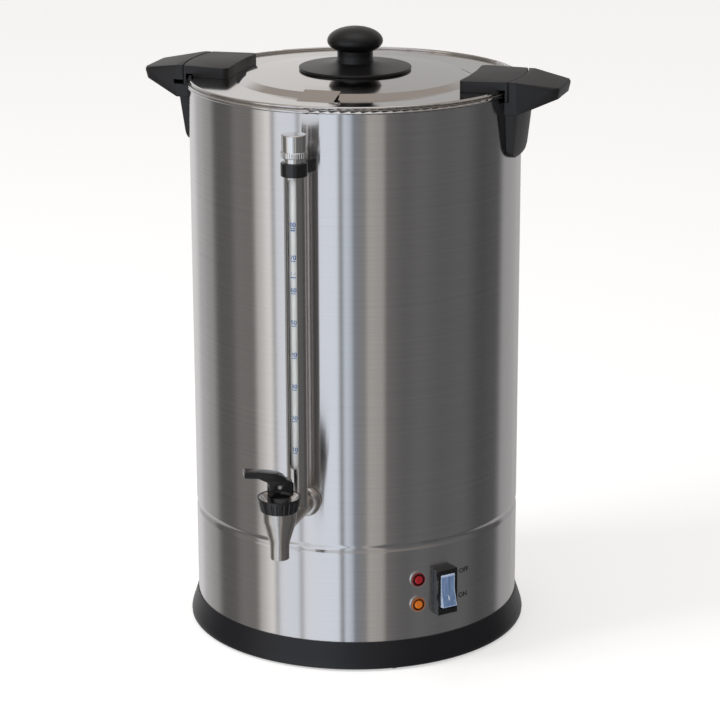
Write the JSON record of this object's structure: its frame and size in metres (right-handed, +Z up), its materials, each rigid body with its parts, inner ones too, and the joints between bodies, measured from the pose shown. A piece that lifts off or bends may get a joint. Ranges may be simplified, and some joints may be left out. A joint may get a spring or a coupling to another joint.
{
  "type": "coffee urn",
  "caption": "Percolating coffee urn with twist-lock lid, sight gauge, swivelling lever tap, rocker switch and lamps.",
  "frame": {"origin": "on the floor, at the axis of the round body, where the feet rest", "axes": "+Z up along the body's axis; the tap and gauge face -Y; the handles lie along X"},
  "size_m": [0.3356, 0.3477, 0.4836],
  "materials": {
    "brushed_steel": "brushed",
    "polished_steel": "polished",
    "satin_steel": "satin",
    "spring_steel": "satin",
    "bright_chrome": "polished",
    "aluminium": "satin",
    "brass": "satin",
    "black_plastic": "matte",
    "gloss_black": "glossy",
    "rocker_blue": "glossy",
    "gauge_glass": "clear",
    "lens_red": "tinted",
    "lens_amber": "tinted",
    "foot_rubber": "matte",
    "seal_silicone": "matte",
    "element_steel": "satin",
    "beige_plastic": "matte",
    "brown_plastic": "matte",
    "red_plastic": "glossy",
    "wire_sleeve": "matte"
  },
  "bodies": {
    "urn": {"body_shell": "brushed_steel", "tank_floor": "polished_steel", "tie_studs": "spring_steel", "stud_nuts": "spring_steel", "base_ring": "black_plastic", "feet": "foot_rubber", "bottom_cover": "aluminium", "handle_left": "black_plastic", "handle_right": "black_plastic", "handle_screws": "spring_steel", "tap_shank": "satin_steel", "shank_flange": "satin_steel", "shank_seal": "seal_silicone", "shank_nut": "satin_steel", "tap_body": "satin_steel", "bonnet_ring": "gloss_black", "bonnet_disc": "bright_chrome", "gauge_shield": "satin_steel", "gauge_glass": "gauge_glass", "gauge_lower_seal": "seal_silicone", "gauge_upper_seal": "seal_silicone", "gauge_cap": "bright_chrome", "gauge_clip": "gloss_black", "clip_screw": "spring_steel", "switch_housing": "gloss_black", "lamp_red": "lens_red", "lamp_amber": "lens_amber", "lamp_rims": "bright_chrome", "lamp_nuts": "black_plastic", "heater_plate": "aluminium", "ring_element": "element_steel", "well_heater": "element_steel", "boil_thermostat": "beige_plastic", "warm_thermostat": "beige_plastic", "thermal_cutout": "brown_plastic", "terminal_block": "beige_plastic", "wiring": "wire_sleeve", "power_inlet": "black_plastic", "inlet_pins": "brass", "inlet_screws": "spring_steel"},
    "gasket": {"lid_gasket": "seal_silicone"},
    "lid": {"lid_pan": "polished_steel", "lid_block_left": "black_plastic", "lid_block_right": "black_plastic", "lid_block_screws": "spring_steel", "knob_disc": "black_plastic", "knob_assembly": "black_plastic"},
    "swivel": {"bonnet_hub": "gloss_black", "tap_spring": "spring_steel"},
    "stem": {"tap_stem": "spring_steel", "seat_cup": "seal_silicone", "lever_pin": "spring_steel"},
    "lever": {"tap_lever": "gloss_black"},
    "rocker": {"switch_rocker": "rocker_blue"},
    "reset": {"reset_button": "red_plastic"},
    "percolator": {"pump_foot": "aluminium", "pump_tube": "aluminium", "coffee_basket": "aluminium", "basket_cover": "aluminium"},
    "washer": {"pump_washer": "brass"}
  },
  "joints": [
    {"name": "lid_lift", "type": "slide", "parent": "urn", "child": "gasket", "axis": [0, 0, 1], "range_m": [0, 0.15]},
    {"name": "lid_turn", "type": "hinge", "parent": "gasket", "child": "lid", "pos_m": [0, 0, 0.445], "axis": [0, 0, 1], "range_deg": [0, 30]},
    {"name": "tap_swivel", "type": "hinge", "parent": "urn", "child": "swivel", "pos_m": [0, -0.195, 0.164], "axis": [0, 0, 1], "continuous": true},
    {"name": "stem_lift", "type": "slide", "parent": "swivel", "child": "stem", "axis": [0, 0, 1], "range_m": [0, 0.003], "stiffness_N_per_m": 1500, "springref_m": -0.003, "deforming": ["tap_spring"]},
    {"name": "lever_tilt", "type": "hinge", "parent": "stem", "child": "lever", "pos_m": [0, -0.195, 0.1715], "axis": [0.4695, -0.8829, 0], "range_deg": [0, 27]},
    {"name": "rocker_tip", "type": "hinge", "parent": "urn", "child": "rocker", "pos_m": [0.09617, -0.08598, 0.0597], "axis": [0.6665, 0.7455, 0], "range_deg": [0, 16]},
    {"name": "reset_press", "type": "slide", "parent": "urn", "child": "reset", "axis": [0, 0, 1], "range_m": [0, 0.002], "stiffness_N_per_m": 400, "springref_m": -0.001},
    {"name": "percolator_lift", "type": "slide", "parent": "urn", "child": "percolator", "axis": [0, 0, 1], "range_m": [0, 0.005]},
    {"name": "washer_lift", "type": "slide", "parent": "percolator", "child": "washer", "axis": [0, 0, 1], "range_m": [0, 0.002]}
  ],
  "couplings": [
    {"joint": "lever_tilt", "follows": "stem_lift", "rad_per_m": 156.25}
  ]
}
